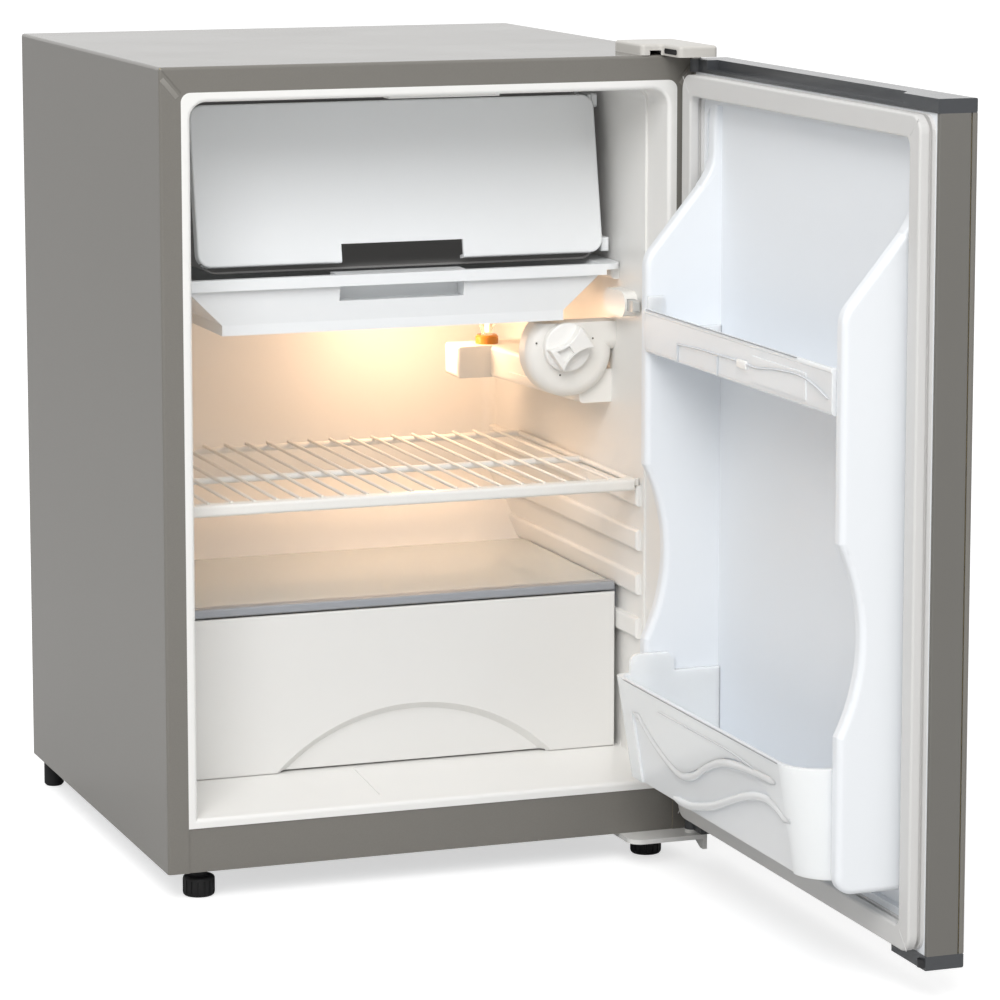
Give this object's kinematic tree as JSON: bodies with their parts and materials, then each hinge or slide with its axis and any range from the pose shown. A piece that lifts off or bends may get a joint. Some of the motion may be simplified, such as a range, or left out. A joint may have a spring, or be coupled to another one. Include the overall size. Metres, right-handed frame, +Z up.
{
  "type": "mini fridge",
  "caption": "Compact single-door refrigerator with a freezer box and flap, drip tray, wire and glass shelves, crisper drawer, door bins, thermostat and rear cooling unit.",
  "frame": {"origin": "on the floor, below the middle of the outline with the door open at a right angle", "axes": "+Z up, -Y out of the cabinet's front, +X towards the hinge side"},
  "size_m": [0.496, 0.967, 0.705],
  "materials": {
    "grey_paint": "satin",
    "edge_grey": "satin",
    "slate_plastic": "satin",
    "cover_grey": "satin",
    "white_plastic": "gloss",
    "white_coated_wire": "gloss",
    "button_grey": "satin",
    "clear_plastic": "gloss",
    "shelf_glass": "gloss",
    "trim_grey": "satin",
    "charcoal_coat": "satin",
    "seal_grey": "matte",
    "foam": "matte",
    "galvanised": "satin",
    "zinc": "polished",
    "black_rubber": "matte",
    "black_plastic": "satin",
    "black_paint": "satin",
    "copper": "satin",
    "amber_plastic": "gloss",
    "lamp_glass": "gloss"
  },
  "bodies": {
    "cabinet": {"cabinet_wrapper": "grey_paint", "front_bottom_rail": "grey_paint", "top_hinge_cover": "cover_grey", "inner_liner": "white_plastic", "thermostat_housing": "white_plastic", "flap_catch": "white_plastic", "flap_brackets": "white_plastic", "door_switch_body": "white_plastic", "evaporator_hangers": "white_plastic", "hinge_washer": "white_plastic", "shelf_glass_rails": "trim_grey", "evaporator_box": "charcoal_coat", "foam_insulation": "foam", "back_panel": "galvanised", "base_deck": "galvanised", "compressor_bar": "galvanised", "top_hinge_plate": "zinc", "lower_hinge_plate": "zinc", "top_hinge_screws": "zinc", "lower_hinge_screws": "zinc", "rear_feet": "black_rubber", "compressor_grommets": "black_rubber", "relay_cover": "black_plastic", "condenser_clips": "black_plastic", "drain_spout": "black_plastic", "condensate_pan": "black_plastic", "compressor_shell": "black_paint", "condenser_tube": "black_paint", "condenser_wires": "black_paint", "discharge_tube": "black_paint", "filter_drier": "copper", "suction_tube": "copper", "lamp_holder": "amber_plastic", "lamp_bulb": "lamp_glass"},
    "door": {"door_skin": "grey_paint", "door_edge_strips": "edge_grey", "door_foam": "foam", "door_cap_top": "slate_plastic", "door_cap_bottom": "slate_plastic", "cap_plug": "black_plastic", "hinge_bushes": "white_plastic", "door_liner": "white_plastic", "door_gasket": "seal_grey"},
    "freezer_flap": {"freezer_flap": "white_plastic"},
    "drip_tray": {"drip_tray": "white_plastic"},
    "wire_shelf": {"wire_shelf_grid": "white_coated_wire", "wire_shelf_rail": "white_plastic"},
    "glass_shelf": {"shelf_glass": "shelf_glass", "shelf_glass_trim": "trim_grey"},
    "crisper": {"crisper_drawer": "white_plastic"},
    "knob": {"thermostat_knob": "white_plastic"},
    "switch_button": {"door_switch_button": "button_grey"},
    "front_foot_left": {"front_foot_left": "black_rubber"},
    "front_foot_right": {"front_foot_right": "black_rubber"},
    "upper_bin": {"upper_bin": "clear_plastic"},
    "lower_bin": {"lower_bin": "clear_plastic"}
  },
  "joints": [
    {"name": "door_hinge", "type": "hinge", "parent": "cabinet", "child": "door", "pos_m": [0.216, -0.0195, 0.36], "axis": [0, 0, 1], "range_deg": [-90, 30]},
    {"name": "flap_pivot", "type": "hinge", "parent": "cabinet", "child": "freezer_flap", "pos_m": [-0.002, 0.1415, 0.647], "axis": [-1, 0, 0], "range_deg": [0, 70]},
    {"name": "tray_slide", "type": "slide", "parent": "cabinet", "child": "drip_tray", "axis": [0, -1, 0], "range_m": [0, 0.12]},
    {"name": "wire_shelf_slide", "type": "slide", "parent": "cabinet", "child": "wire_shelf", "axis": [0, -1, 0], "range_m": [0, 0.075]},
    {"name": "glass_shelf_slide", "type": "slide", "parent": "cabinet", "child": "glass_shelf", "axis": [0, -1, 0], "range_m": [0, 0.13]},
    {"name": "crisper_slide", "type": "slide", "parent": "cabinet", "child": "crisper", "axis": [0, -1, 0], "range_m": [0, 0.13]},
    {"name": "knob_turn", "type": "hinge", "parent": "cabinet", "child": "knob", "pos_m": [0.1465, 0.0995, 0.4355], "axis": [0, -1, 0], "range_deg": [0, 270]},
    {"name": "switch_press", "type": "slide", "parent": "cabinet", "child": "switch_button", "axis": [0, -1, 0], "range_m": [-0.004, 0], "stiffness_N_per_m": 250, "springref_m": 0.004},
    {"name": "left_foot_turn", "type": "hinge", "parent": "cabinet", "child": "front_foot_left", "pos_m": [-0.215, 0.0195, 0], "axis": [0, 0, 1], "continuous": true},
    {"name": "right_foot_turn", "type": "hinge", "parent": "cabinet", "child": "front_foot_right", "pos_m": [0.189, 0.0195, 0], "axis": [0, 0, 1], "continuous": true},
    {"name": "upper_bin_lift", "type": "slide", "parent": "door", "child": "upper_bin", "axis": [0, 0, 1], "range_m": [0, 0.025]},
    {"name": "lower_bin_lift", "type": "slide", "parent": "door", "child": "lower_bin", "axis": [0, 0, 1], "range_m": [0, 0.025]}
  ]
}
